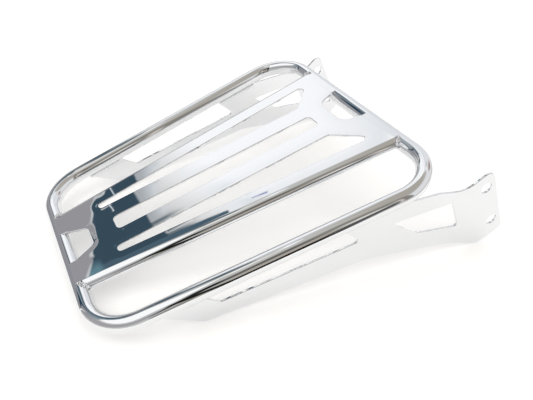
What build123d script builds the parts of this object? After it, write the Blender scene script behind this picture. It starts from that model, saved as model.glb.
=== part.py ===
from build123d import *
import os
from math import atan, cos, degrees, radians, sin, sqrt, tan

# Motorcycle luggage rack: a bent tube hoop, a slotted sheet deck and two flat side arms, welded together.
# The deck lies level with its top at Z = 0, +X points to the mounting tabs at the front and +Z is up.
# The origin is on the deck's top, half way between the rear and front runs of the hoop. Millimetres, degrees.

# Hoop of round tube, measured on the tube's centre line
TUBE_DIAMETER = 12.7
TUBE_WALL = 1.6
HOOP_LENGTH = 261.0        # from the rear run to the front run
HOOP_REAR_WIDTH = 174.5    # between the side runs, where they would cross the rear run
HOOP_FRONT_WIDTH = 232.0   # between the side runs, where they would cross the front run
HOOP_BEND_RADIUS = 33.5

# Deck of formed sheet, its top level with the crown of the tube
SHEET_THICKNESS = 2.0
DECK_REAR_WIDTH = 88.0     # over the rolled edges, on the rear run
DECK_FRONT_WIDTH = 138.0   # over the rolled edges, on the front run
EDGE_BEND_RADIUS = 6.0     # outside radius of the rolled long edges
EDGE_LIP = 0.6             # straight lip below the bend

# Slots of the deck
CENTRE_SLOT_WIDTH = 15.0
BAR_WIDTH = 17.0           # between the centre slot and a wedge slot
SIDE_STRIP_WIDTH = 17.0    # from a wedge slot to the outside of the rolled edge
SLOT_CORNER_RADIUS = 3.6
CENTRE_SLOT_REAR = 41.3    # slot ends, measured from the rear or the front run of the hoop
CENTRE_SLOT_FRONT = 38.9
WEDGE_SLOT_REAR = 35.3
WEDGE_SLOT_FRONT = 40.4    # at the inner corner, where the slanted front end starts
WEDGE_FRONT_ANGLE = 46.0   # slant of the front end from the X axis
WEDGE_TIP_ROUNDING = 0.92  # share of the narrow rear tip that is rounded

# Notches at the two ends of the deck, open to the tube: depth from the run, half widths, corner radius
REAR_NOTCH_DEPTH = 21.1
REAR_NOTCH_BASE = 19.0
REAR_NOTCH_END = 9.5
REAR_NOTCH_RADIUS = 3.5
FRONT_NOTCH_DEPTH = 22.0
FRONT_NOTCH_BASE = 24.0
FRONT_NOTCH_END = 16.7
FRONT_NOTCH_RADIUS = 10.0

# Side arms of flat plate, upright under the side runs.
# Lengths run along the side run from the nearer bend, towards the front; depths are below the tube.
ARM_THICKNESS = 2.0
ARM_INBOARD = 0.8          # from the tube's centre line in to the middle of the plate
REAR_TIP = 6.7             # the slanted rear end leaves the tube
HEEL = 35.0                # low rear corner
HEEL_DEPTH = 26.2
REAR_LAND_END = 39.4       # the rear land ends at the notch under the tube
NOTCH_REAR = 51.0
NOTCH_REAR_DEPTH = 13.4
NOTCH_FRONT = -35.6
NOTCH_FRONT_DEPTH = 18.7
FRONT_LAND_START = -48.4   # the front land runs from the notch to the start of the bend
FRONT_LAND_END = -5.4
KNEE = -31.6               # the low edge turns down here
KNEE_DEPTH = 42.4
SHIN = 40.3                # and levels out here
SHIN_DEPTH = 71.0
BROW = 31.4                # the top edge turns down here
BROW_DEPTH = 8.2
DIP = 54.3                 # and up to the tab here
DIP_DEPTH = 18.7
WINDOW_REAR = -8.1
WINDOW_REAR_DEPTH = 17.1
WINDOW_TOP = 42.6
WINDOW_TOP_DEPTH = 25.1
WINDOW_FRONT = 49.1
WINDOW_FRONT_DEPTH = 54.0
WINDOW_LOW = 12.7
WINDOW_LOW_DEPTH = 40.1
ARM_SOFT_RADIUS = 22.0     # gentle bends of the outline at the knee, shin, brow and dip
ARM_CORNER_RADIUS = 4.5    # corners of the tab and the heel
CUTOUT_RADIUS = 2.2        # corners of the notch and the window
WINDOW_TIP_RADIUS = 0.8    # the window's acute rear corner

# Mounting tab at the front of each arm, laid out from its two bolt holes
BOLT_HOLE_DIAMETER = 9.0
BOLT_SPACING = 41.5
BOLT = 73.4                # upper hole
BOLT_DEPTH = 26.2
TAB_TILT = 12.0            # the line through the holes leans forward by this much from upright
TAB_FRONT_MARGIN = 8.7     # from the hole line to the front edge
TAB_TOP_MARGIN = 15.5      # from the upper hole to the apex, along the hole line
TAB_LOW_MARGIN = 17.3      # from the lower hole to the front low corner, along the hole line
TOE_MARGIN = 20.0          # from the lower hole to the toe, along the hole line
TOE_SETBACK = 15.9         # from the hole line back to the toe

# Weld beads
ARM_WELD_LEG = 2.6         # fillet along the inner face of an arm
ARM_WELD_INSET = 1.0       # the bead stops this far from each end of its land
SEAM_DRESSED_ANGLE = 15.0  # the dressed seam blends into the tube this far round from its crown
EDGE_WELD_THROAT = 1.6     # bead in the corner between a rolled edge and the tube, at its thickest
EDGE_WELD_WIDTH = 5.0
EDGE_WELD_ARC = 80.0       # it runs this far round, up from the lip towards the crown

# Values that follow from the sizes above
tube_r = TUBE_DIAMETER / 2
half_length = HOOP_LENGTH / 2
hoop_half_width = (HOOP_FRONT_WIDTH + HOOP_REAR_WIDTH) / 4
side_angle = degrees(atan((HOOP_FRONT_WIDTH - HOOP_REAR_WIDTH) / 2 / HOOP_LENGTH))
rear_bend = -half_length / cos(radians(side_angle)) + HOOP_BEND_RADIUS / tan(radians(90 + side_angle) / 2)
front_bend = half_length / cos(radians(side_angle)) - HOOP_BEND_RADIUS / tan(radians(90 - side_angle) / 2)
deck_half_width = (DECK_FRONT_WIDTH + DECK_REAR_WIDTH) / 4
deck_slope = (DECK_FRONT_WIDTH - DECK_REAR_WIDTH) / 2 / HOOP_LENGTH
deck_depth = EDGE_BEND_RADIUS + EDGE_LIP
deck_end = half_length - sqrt(tube_r**2 - (tube_r - SHEET_THICKNESS) ** 2)


def deck_edge(x):
    """Half width of the deck over its rolled edges at x."""
    return deck_half_width + deck_slope * x


def export(part, name):
    """Label a finished piece and write it."""
    part.label = name
    export_step(part, f"parts/{name}.step")


os.makedirs("parts", exist_ok=True)

# Hoop: one tube bent round four corners and closed
with BuildPart() as hoop_tube:
    with BuildLine(Plane.XY.offset(-tube_r)) as hoop_path:
        FilletPolyline(
            (half_length, HOOP_FRONT_WIDTH / 2),
            (-half_length, HOOP_REAR_WIDTH / 2),
            (-half_length, -HOOP_REAR_WIDTH / 2),
            (half_length, -HOOP_FRONT_WIDTH / 2),
            radius=HOOP_BEND_RADIUS,
            close=True,
        )
    with BuildSketch(Plane(origin=hoop_path.line @ 0, z_dir=hoop_path.line % 0)):
        Circle(tube_r)
        Circle(tube_r - TUBE_WALL, mode=Mode.SUBTRACT)
    sweep(path=hoop_path.line)
export(hoop_tube.part, "hoop_tube")

# Deck: a tapered tray shape with rolled long edges, shelled to the sheet, then slotted and notched
with BuildPart() as deck_plate:
    with BuildSketch():
        Polygon(
            (-deck_end, deck_edge(-deck_end)),
            (-deck_end, -deck_edge(-deck_end)),
            (deck_end, -deck_edge(deck_end)),
            (deck_end, deck_edge(deck_end)),
            align=None,
        )
    extrude(amount=-deck_depth)
    top_edges = deck_plate.faces().sort_by(Axis.Z)[-1].edges().sort_by(Axis.Y)
    fillet([top_edges[0], top_edges[-1]], radius=EDGE_BEND_RADIUS)
    deck_form = deck_plate.part
    end_faces = deck_plate.faces().sort_by(Axis.X)
    underside = deck_plate.faces().sort_by(Axis.Z)[0]
    offset(amount=-SHEET_THICKNESS, openings=[end_faces[0], end_faces[-1], underside])
    with BuildSketch():
        with BuildLine():
            wedge_inner = CENTRE_SLOT_WIDTH / 2 + BAR_WIDTH
            wedge_rear = WEDGE_SLOT_REAR - half_length
            wedge_front = half_length - WEDGE_SLOT_FRONT
            slant = tan(radians(WEDGE_FRONT_ANGLE))
            tip_width = deck_edge(wedge_rear) - SIDE_STRIP_WIDTH - wedge_inner
            front_reach = (deck_edge(wedge_front) - SIDE_STRIP_WIDTH - wedge_inner) / (slant - deck_slope)
            tip_radius = WEDGE_TIP_ROUNDING * tip_width / 2
            FilletPolyline(
                (wedge_rear, wedge_inner),
                (wedge_front, wedge_inner),
                (wedge_front + front_reach, wedge_inner + front_reach * slant),
                (wedge_rear, wedge_inner + tip_width),
                radius=[tip_radius, SLOT_CORNER_RADIUS, SLOT_CORNER_RADIUS, tip_radius],
                close=True,
            )
        make_face()
        mirror(about=Plane.XZ)
        centre_rear = CENTRE_SLOT_REAR - half_length
        centre_front = half_length - CENTRE_SLOT_FRONT
        with Locations(((centre_rear + centre_front) / 2, 0)):
            RectangleRounded(centre_front - centre_rear, CENTRE_SLOT_WIDTH, SLOT_CORNER_RADIUS)
    extrude(amount=-deck_depth, mode=Mode.SUBTRACT)
    with BuildSketch():
        with BuildLine():
            FilletPolyline(
                (-half_length, REAR_NOTCH_BASE),
                (REAR_NOTCH_DEPTH - half_length, REAR_NOTCH_END),
                (REAR_NOTCH_DEPTH - half_length, -REAR_NOTCH_END),
                (-half_length, -REAR_NOTCH_BASE),
                radius=[0, REAR_NOTCH_RADIUS, REAR_NOTCH_RADIUS, 0],
                close=True,
            )
        make_face()
        with BuildLine():
            FilletPolyline(
                (half_length, FRONT_NOTCH_BASE),
                (half_length - FRONT_NOTCH_DEPTH, FRONT_NOTCH_END),
                (half_length - FRONT_NOTCH_DEPTH, -FRONT_NOTCH_END),
                (half_length, -FRONT_NOTCH_BASE),
                radius=[0, FRONT_NOTCH_RADIUS, FRONT_NOTCH_RADIUS, 0],
                close=True,
            )
        make_face()
    extrude(amount=-deck_depth, mode=Mode.SUBTRACT)
    with Locations((-half_length, 0, -tube_r), (half_length, 0, -tube_r)):
        Cylinder(tube_r, HOOP_FRONT_WIDTH, rotation=(90, 0, 0), mode=Mode.SUBTRACT)
export(deck_plate.part, "deck_plate")


def arm_plane(side):
    """Upright middle plane of an arm: X along the side run from mid-length, Y up from the foot of the tube."""
    run = (cos(radians(side_angle)), side * sin(radians(side_angle)), 0)
    normal = (side * sin(radians(side_angle)), -cos(radians(side_angle)), 0)
    under_tube = Plane(origin=(0, side * hoop_half_width, -TUBE_DIAMETER), x_dir=run, z_dir=normal)
    return under_tube.offset(side * ARM_INBOARD)


def tab_point(down, forward):
    """Point of the mounting tab, from its upper hole: down the hole line, then square to it."""
    lean = radians(TAB_TILT)
    along = front_bend + BOLT + down * sin(lean) + forward * cos(lean)
    height = -BOLT_DEPTH - down * cos(lean) + forward * sin(lean)
    return (along, height)


# Arms: flat plates with a notch under the tube, a window and a tab with two bolt holes
for side, name in ((1, "left_arm"), (-1, "right_arm")):
    with BuildPart() as arm:
        with BuildSketch(arm_plane(side)):
            with BuildLine():
                FilletPolyline(
                    (rear_bend + REAR_TIP, 0),
                    (rear_bend + HEEL, -HEEL_DEPTH),
                    (front_bend + KNEE, -KNEE_DEPTH),
                    (front_bend + SHIN, -SHIN_DEPTH),
                    tab_point(BOLT_SPACING + TOE_MARGIN, -TOE_SETBACK),
                    tab_point(BOLT_SPACING + TAB_LOW_MARGIN, TAB_FRONT_MARGIN),
                    tab_point(-TAB_TOP_MARGIN, TAB_FRONT_MARGIN),
                    (front_bend + DIP, -DIP_DEPTH),
                    (front_bend + BROW, -BROW_DEPTH),
                    (front_bend + FRONT_LAND_END, 0),
                    (front_bend + FRONT_LAND_START, 0),
                    (front_bend + NOTCH_FRONT, -NOTCH_FRONT_DEPTH),
                    (rear_bend + NOTCH_REAR, -NOTCH_REAR_DEPTH),
                    (rear_bend + REAR_LAND_END, 0),
                    radius=[0, ARM_CORNER_RADIUS, ARM_SOFT_RADIUS, ARM_SOFT_RADIUS]
                    + [ARM_CORNER_RADIUS] * 3
                    + [ARM_SOFT_RADIUS, ARM_SOFT_RADIUS, 0, 0, CUTOUT_RADIUS, CUTOUT_RADIUS, 0],
                    close=True,
                )
            make_face()
            with BuildLine():
                FilletPolyline(
                    (front_bend + WINDOW_REAR, -WINDOW_REAR_DEPTH),
                    (front_bend + WINDOW_TOP, -WINDOW_TOP_DEPTH),
                    (front_bend + WINDOW_FRONT, -WINDOW_FRONT_DEPTH),
                    (front_bend + WINDOW_LOW, -WINDOW_LOW_DEPTH),
                    radius=[WINDOW_TIP_RADIUS] + [CUTOUT_RADIUS] * 3,
                    close=True,
                )
            make_face(mode=Mode.SUBTRACT)
            with Locations(tab_point(0, 0), tab_point(BOLT_SPACING, 0)):
                Circle(BOLT_HOLE_DIAMETER / 2, mode=Mode.SUBTRACT)
        extrude(amount=ARM_THICKNESS / 2, both=True)
    export(arm.part, name)


def tube_rise(out):
    """Height of the tube's underside above its foot, out from the middle of an arm towards the deck."""
    return tube_r - sqrt(tube_r**2 - (out + ARM_INBOARD) ** 2)


# Arm welds: a fillet between the tube and the inner face of each arm, along its two lands
lands = {
    "rear": (rear_bend + REAR_TIP, rear_bend + REAR_LAND_END),
    "front": (front_bend + FRONT_LAND_START, front_bend + FRONT_LAND_END),
}
for side, side_name in ((1, "left"), (-1, "right")):
    for place, (start, end) in lands.items():
        run_plane = arm_plane(side)
        first = run_plane.from_local_coords((start + ARM_WELD_INSET, 0, 0))
        weld_plane = Plane(origin=first, x_dir=run_plane.z_dir * side, z_dir=run_plane.x_dir)
        up = 1 if weld_plane.y_dir.Z > 0 else -1
        face = ARM_THICKNESS / 2
        reach = face + ARM_WELD_LEG
        middle = face + ARM_WELD_LEG / 2
        with BuildPart() as arm_weld:
            with BuildSketch(weld_plane):
                with BuildLine():
                    on_arm = (face, up * tube_rise(face))
                    on_tube = (reach, up * tube_rise(reach))
                    between = (middle, up * tube_rise(middle))
                    ThreePointArc(on_arm, between, on_tube)
                    Polyline(on_tube, (face, -up * ARM_WELD_LEG), on_arm)
                make_face()
            extrude(amount=end - start - 2 * ARM_WELD_INSET)
        export(arm_weld.part, f"{side_name}_arm_{place}_weld")

# Deck seams: the groove between the sheet's end and the tube, filled and dressed level
# Edge welds: a bead down the corner between each rolled edge and the tube, from the crown to the lip
notch_edges = {
    -1: REAR_NOTCH_BASE + (REAR_NOTCH_END - REAR_NOTCH_BASE) * (half_length - deck_end) / REAR_NOTCH_DEPTH,
    1: FRONT_NOTCH_BASE + (FRONT_NOTCH_END - FRONT_NOTCH_BASE) * (half_length - deck_end) / FRONT_NOTCH_DEPTH,
}
for end, end_name in ((-1, "rear"), (1, "front")):
    for side, side_name in ((1, "left"), (-1, "right")):
        seam_start = notch_edges[end]
        bend_start = deck_edge(end * deck_end) - EDGE_BEND_RADIUS
        dressed = radians(SEAM_DRESSED_ANGLE)
        with BuildPart() as deck_seam:
            with BuildSketch(Plane.XZ.offset(-side * seam_start)):
                with BuildLine():
                    root = (end * deck_end, -SHEET_THICKNESS)
                    brim = (end * deck_end, 0)
                    blend = (end * (half_length - tube_r * sin(dressed)), -tube_r * (1 - cos(dressed)))
                    Polyline(root, brim, blend)
                    RadiusArc(blend, root, -end * tube_r)
                make_face()
            extrude(amount=-side * (bend_start - seam_start))
        export(deck_seam.part, f"{end_name}_{side_name}_seam")

        diagonal = (-end * tube_r, side * EDGE_BEND_RADIUS, 0)
        across = (side * EDGE_BEND_RADIUS, end * tube_r, 0)
        weld_span = sqrt(tube_r**2 + EDGE_BEND_RADIUS**2) + EDGE_WELD_THROAT
        with BuildPart() as edge_weld:
            with BuildSketch(Plane((end * half_length, side * bend_start, 0), x_dir=diagonal, z_dir=across)):
                with BuildLine():
                    bead = EllipticalCenterArc(
                        (0, -deck_depth), weld_span, deck_depth, start_angle=0, arc_size=EDGE_WELD_ARC
                    )
                    Polyline(bead @ 1, ((bead @ 1).X, -deck_depth), bead @ 0)
                make_face()
            extrude(amount=EDGE_WELD_WIDTH / 2, both=True)
            add(deck_form, mode=Mode.SUBTRACT)
            add(deck_seam.part, mode=Mode.SUBTRACT)
            with Locations((end * half_length, 0, -tube_r)):
                Cylinder(tube_r, HOOP_FRONT_WIDTH, rotation=(90, 0, 0), mode=Mode.SUBTRACT)
        export(edge_weld.part, f"{end_name}_{side_name}_edge_weld")
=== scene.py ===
"""A chrome motorcycle luggage rack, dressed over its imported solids.

A bent tube hoop carries a slotted sheet deck, and two flat arms hang under its sides. Every surface is worked out
with numpy from the rack's own sizes, in millimetres in the row frame, and becomes metres when its mesh is made.
"""

import logging
import math
from dataclasses import dataclass, field
from enum import Enum

import bpy
import numpy as np
from mathutils import Matrix, Vector
from mathutils.geometry import delaunay_2d_cdt


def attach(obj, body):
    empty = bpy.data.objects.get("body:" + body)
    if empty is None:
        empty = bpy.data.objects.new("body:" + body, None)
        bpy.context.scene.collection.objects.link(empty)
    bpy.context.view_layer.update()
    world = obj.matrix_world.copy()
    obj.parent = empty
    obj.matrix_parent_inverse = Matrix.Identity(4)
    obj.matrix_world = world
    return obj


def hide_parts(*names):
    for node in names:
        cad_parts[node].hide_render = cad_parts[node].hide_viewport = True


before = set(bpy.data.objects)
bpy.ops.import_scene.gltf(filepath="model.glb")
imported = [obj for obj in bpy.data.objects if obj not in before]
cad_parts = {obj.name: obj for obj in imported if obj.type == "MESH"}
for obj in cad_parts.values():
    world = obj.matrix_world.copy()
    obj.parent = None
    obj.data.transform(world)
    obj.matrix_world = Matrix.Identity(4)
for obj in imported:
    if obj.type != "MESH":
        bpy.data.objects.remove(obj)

LOG = logging.getLogger("luggage_rack")
MM = 0.001
Array = np.ndarray
Pair = tuple[float, float]
Socket = bpy.types.NodeSocket
Tree = bpy.types.NodeTree


class Side(Enum):
    """The two long sides of the rack, as the sign of Y."""

    LEFT = 1
    RIGHT = -1


class End(Enum):
    """The two ends of the hoop, as the sign of X."""

    REAR = -1
    FRONT = 1


class Slot(Enum):
    """The record's material slots."""

    POLISHED = "polished_chrome"
    WELD = "weld_chrome"


@dataclass(frozen=True)
class Layout:
    """Sizes that the hoop, the deck, the arms and the welds share, in millimetres."""

    tube_radius: float = 6.35
    half_length: float = 130.5
    rear_half_width: float = 87.25
    front_half_width: float = 116.0
    hoop_bend: float = 33.5
    sheet: float = 2.0
    deck_rear_half: float = 44.0
    deck_front_half: float = 69.0
    edge_bend: float = 6.0
    edge_lip: float = 0.6

    @property
    def side_angle(self) -> float:
        """Angle of a side run from the X axis, in radians."""
        return math.atan((self.front_half_width - self.rear_half_width) / (2 * self.half_length))

    @property
    def mid_half_width(self) -> float:
        """Half the width between the side runs at mid-length."""
        return (self.front_half_width + self.rear_half_width) / 2

    @property
    def half_run(self) -> float:
        """Half the length of a side run, from corner to corner."""
        return self.half_length / math.cos(self.side_angle)

    @property
    def rear_bend(self) -> float:
        """Where a side run leaves the rear bend, along the run from mid-length."""
        return -self.half_run + self.hoop_bend / math.tan((math.pi / 2 + self.side_angle) / 2)

    @property
    def front_bend(self) -> float:
        """Where a side run meets the front bend, along the run from mid-length."""
        return self.half_run - self.hoop_bend / math.tan((math.pi / 2 - self.side_angle) / 2)

    @property
    def deck_slope(self) -> float:
        """Growth of the deck's half width along X."""
        return (self.deck_front_half - self.deck_rear_half) / (2 * self.half_length)

    @property
    def deck_end(self) -> float:
        """Where the sheet stops short of the end tube, as a distance from mid-length."""
        return self.half_length - math.sqrt(self.tube_radius**2 - (self.tube_radius - self.sheet) ** 2)

    def deck_edge(self, x: float) -> float:
        """Half width of the deck over its rolled edges at x."""
        return (self.deck_front_half + self.deck_rear_half) / 2 + self.deck_slope * x


LAYOUT = Layout()


@dataclass
class Surface:
    """Points with their normals, and faces as arrays of point numbers, in millimetres."""

    points: Array
    normals: Array
    faces: list[Array] = field(default_factory=list)

    def facing_out(self) -> "Surface":
        """Turn each face so that it looks the way its normals point.

        Returns:
            The same surface.
        """
        turned = []
        for faces in self.faces:
            corners = self.points[faces]
            look = np.cross(corners[:, 1] - corners[:, 0], corners[:, 2] - corners[:, 0])
            wrong = (look * self.normals[faces].mean(1)).sum(1) < 0
            turned.append(np.where(wrong[:, None], faces[:, ::-1], faces))
        self.faces = turned
        return self


def unit(vectors: Array) -> Array:
    """Rows of vectors brought to a length of one."""
    return vectors / np.linalg.norm(vectors, axis=-1, keepdims=True)


def joined(surfaces: list[Surface]) -> Surface:
    """Put surfaces together, one after the other.

    Args:
        surfaces: The surfaces, whose points may coincide at their borders.

    Returns:
        One surface with every point and face.
    """
    starts = np.cumsum([0] + [len(s.points) for s in surfaces[:-1]])
    faces = [f + start for s, start in zip(surfaces, starts) for f in s.faces]
    return Surface(np.vstack([s.points for s in surfaces]), np.vstack([s.normals for s in surfaces]), faces)


def grid(points: Array, normals: Array, closed_u: bool = False, closed_v: bool = False) -> Surface:
    """Surface over a grid of two parameters: one quad between each four neighbours.

    Args:
        points: Points as rows by columns by 3.
        normals: Normals of the same shape.
        closed_u: Whether the last row joins the first.
        closed_v: Whether the last column joins the first.

    Returns:
        The surface, its faces looking along the normals.
    """
    rows, columns = points.shape[:2]
    number = np.arange(rows * columns).reshape(rows, columns)
    number = np.vstack([number, number[:1]]) if closed_u else number
    number = np.hstack([number, number[:, :1]]) if closed_v else number
    quads = np.stack([number[:-1, :-1], number[1:, :-1], number[1:, 1:], number[:-1, 1:]], -1).reshape(-1, 4)
    return Surface(points.reshape(-1, 3), normals.reshape(-1, 3), [quads]).facing_out()


def skin(points: Array, outward: Array, closed_v: bool = True) -> Surface:
    """Surface over a grid of points, with normals square to both of its parameters.

    Each normal is the cross product of the differences along the rows and the columns, turned outward.

    Args:
        points: Points as rows by columns by 3.
        outward: Rough outward directions of the same shape.
        closed_v: Whether the last column joins the first.

    Returns:
        The surface.
    """
    along = np.gradient(points, axis=0)
    wide = np.concatenate([points[:, -1:], points, points[:, :1]], 1) if closed_v else points
    across = np.gradient(wide, axis=1)[:, 1:-1] if closed_v else np.gradient(wide, axis=1)
    normals = np.cross(along, across)
    normals /= np.maximum(np.linalg.norm(normals, axis=2, keepdims=True), 1e-9)
    normals *= np.where((normals * outward).sum(2, keepdims=True) < 0, -1.0, 1.0)
    return grid(points, normals, closed_v=closed_v)


def circles(around: int, first: Array, second: Array) -> Array:
    """Unit circles along a path, over two square directions at each of its points.

    Args:
        around: Number of points on a circle.
        first: Directions towards the first point.
        second: Directions towards the point a quarter turn on.

    Returns:
        Directions as path points by circle points by 3.
    """
    turn = np.linspace(0, 2 * math.pi, around, endpoint=False)
    return np.cos(turn)[None, :, None] * first[:, None] + np.sin(turn)[None, :, None] * second[:, None]


def cap(points: Array, direction: Array) -> Surface:
    """One flat face over a ring of points.

    Args:
        points: The ring.
        direction: The way that the face looks.

    Returns:
        The surface.
    """
    face = np.arange(len(points))[None]
    return Surface(points, np.broadcast_to(np.asarray(direction, float), points.shape), [face]).facing_out()


def placed(surface: Surface, origin: Array, along: Array, up: Array, out: Array) -> Surface:
    """Carry a surface from its own axes to the row frame.

    Args:
        surface: The surface, in coordinates along, up and out.
        origin: Row-frame place of its zero.
        along: Row-frame direction of its first axis.
        up: Row-frame direction of its second axis.
        out: Row-frame direction of its third axis.

    Returns:
        A new surface, its faces looking along its normals.
    """
    axes = np.array([along, up, out])
    return Surface(surface.points @ axes + origin, surface.normals @ axes, surface.faces).facing_out()


@dataclass
class Outline:
    """A line in a plane with its normals, which point away from the material on its left."""

    points: Array
    normals: Array
    closed: bool = True

    def inset(self, amount: float) -> Array:
        """Points of the line moved into the material by an amount."""
        return self.points - amount * self.normals


def rounded_outline(corners: Array, radii: Array, closed: bool = True, step: float = 2.5) -> Outline:
    """Straight runs between corners, each corner turned on an arc of its radius.

    The arc's centre lies on the corner's bisector, one radius from both runs. Runs are divided every step, and arcs
    about every seven degrees.

    Args:
        corners: Corner points, in order, with the material on the left of the line.
        radii: One radius for each corner; the ends of an open line have none.
        closed: Whether the last corner joins the first.
        step: Spacing of points on the straight runs.

    Returns:
        The outline.
    """
    corners = np.asarray(corners, float)
    count = len(corners)
    arcs = []
    for i, radius in enumerate(radii):
        here = corners[i]
        if not closed and i in (0, count - 1):
            arcs.append(here[None])
            continue
        back, ahead = corners[i - 1] - here, corners[(i + 1) % count] - here
        back, ahead = back / np.linalg.norm(back), ahead / np.linalg.norm(ahead)
        half = math.acos(float(np.clip(back @ ahead, -1, 1))) / 2
        bisector = (back + ahead) / np.linalg.norm(back + ahead)
        centre = here + bisector * radius / math.sin(half)
        first = here + back * radius / math.tan(half) - centre
        last = here + ahead * radius / math.tan(half) - centre
        sweep = math.atan2(first[0] * last[1] - first[1] * last[0], first @ last)
        angle = np.linspace(0, sweep, max(4, int(abs(sweep) / 0.12) + 1))[:, None]
        arcs.append(centre + first * np.cos(angle) + np.array([-first[1], first[0]]) * np.sin(angle))
    points = []
    for i in range(count if closed else count - 1):
        start, stop = arcs[i][-1], arcs[(i + 1) % count][0]
        share = np.linspace(0, 1, max(2, int(np.linalg.norm(stop - start) / step) + 1))[1:-1, None]
        points += [arcs[i], start + (stop - start) * share]
    points = np.vstack(points if closed else points + [arcs[-1]])
    ahead = np.roll(points, -1, 0) - points
    behind = points - np.roll(points, 1, 0)
    if not closed:
        ahead[-1], behind[0] = behind[-1], ahead[0]
    run = unit(unit(ahead) + unit(behind))
    return Outline(points, np.c_[run[:, 1], -run[:, 0]], closed)


def crossings(points: Array, loops: list[Array]) -> Array:
    """Tell which points are inside the loops, by counting the edges to the right of each point.

    Args:
        points: Points of the plane.
        loops: Closed lines, an outer one and its holes.

    Returns:
        True for each point in the material.
    """
    a = np.vstack(loops)
    b = np.vstack([np.roll(loop, -1, 0) for loop in loops])
    x, y = points[:, :1], points[:, 1:]
    spans = (a[:, 1] > y) != (b[:, 1] > y)
    rise = np.where(np.abs(b[:, 1] - a[:, 1]) < 1e-12, 1e-12, b[:, 1] - a[:, 1])
    hit = x < a[:, 0] + (y - a[:, 1]) / rise * (b[:, 0] - a[:, 0])
    return (spans & hit).sum(1) % 2 == 1


def nearest(points: Array, lines: list[Array], closed: list[bool]) -> tuple[Array, Array]:
    """Distance and direction from the nearest of several lines.

    Args:
        points: Points of the plane.
        lines: Lines as arrays of points.
        closed: Whether each line joins its own start.

    Returns:
        The distances, and the unit directions away from the line.
    """
    a = np.vstack([line if shut else line[:-1] for line, shut in zip(lines, closed)])
    b = np.vstack([np.roll(line, -1, 0) if shut else line[1:] for line, shut in zip(lines, closed)])
    best = np.full(len(points), 1e9)
    away = np.zeros((len(points), 2))
    for part in np.array_split(np.arange(len(points)), max(1, len(points) // 2000)):
        p = points[part][:, None]
        share = np.clip(((p - a) * (b - a)).sum(2) / np.maximum(((b - a) ** 2).sum(1), 1e-12), 0, 1)
        gap = p - a - share[..., None] * (b - a)
        length = np.linalg.norm(gap, axis=2)
        pick = length.argmin(1)
        rows = np.arange(len(part))
        best[part] = length[rows, pick]
        away[part] = gap[rows, pick] / np.maximum(length[rows, pick], 1e-9)[:, None]
    return best, away


def filled(loops: list[Array], spacing: float) -> tuple[Array, Array]:
    """Triangles of a flat face with holes, over its borders and an even field of points between them.

    Args:
        loops: The outer border and the holes.
        spacing: Distance between the points of the field.

    Returns:
        Points of the plane, and triangles of point numbers.
    """
    border = np.vstack(loops)
    low, high = border.min(0), border.max(0)
    x = np.arange(low[0], high[0], spacing)
    y = np.arange(low[1], high[1], spacing * 0.866)
    field_points = np.stack(np.meshgrid(x, y, indexing="ij"), -1)
    field_points[:, 1::2, 0] += spacing / 2
    field_points = field_points.reshape(-1, 2)
    field_points = field_points[crossings(field_points, loops)]
    gap, _ = nearest(field_points, loops, [True] * len(loops))
    field_points = field_points[gap > 0.5 * spacing]
    edges = []
    start = 0
    for loop in loops:
        number = np.arange(start, start + len(loop))
        edges.append(np.c_[number, np.roll(number, -1)])
        start += len(loop)
    points = np.vstack([border, field_points])
    made = delaunay_2d_cdt([Vector(p) for p in points.tolist()], np.vstack(edges).tolist(), [], 0, 1e-6)
    triangles = np.array([same[0] for same in made[3]])[np.array(made[2])]
    one, two = (points[triangles[:, i]] - points[triangles[:, 0]] for i in (1, 2))
    real = np.abs(one[:, 0] * two[:, 1] - one[:, 1] * two[:, 0]) > 1e-6
    return points, triangles[real & crossings(points[triangles].mean(1), loops)]


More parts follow.
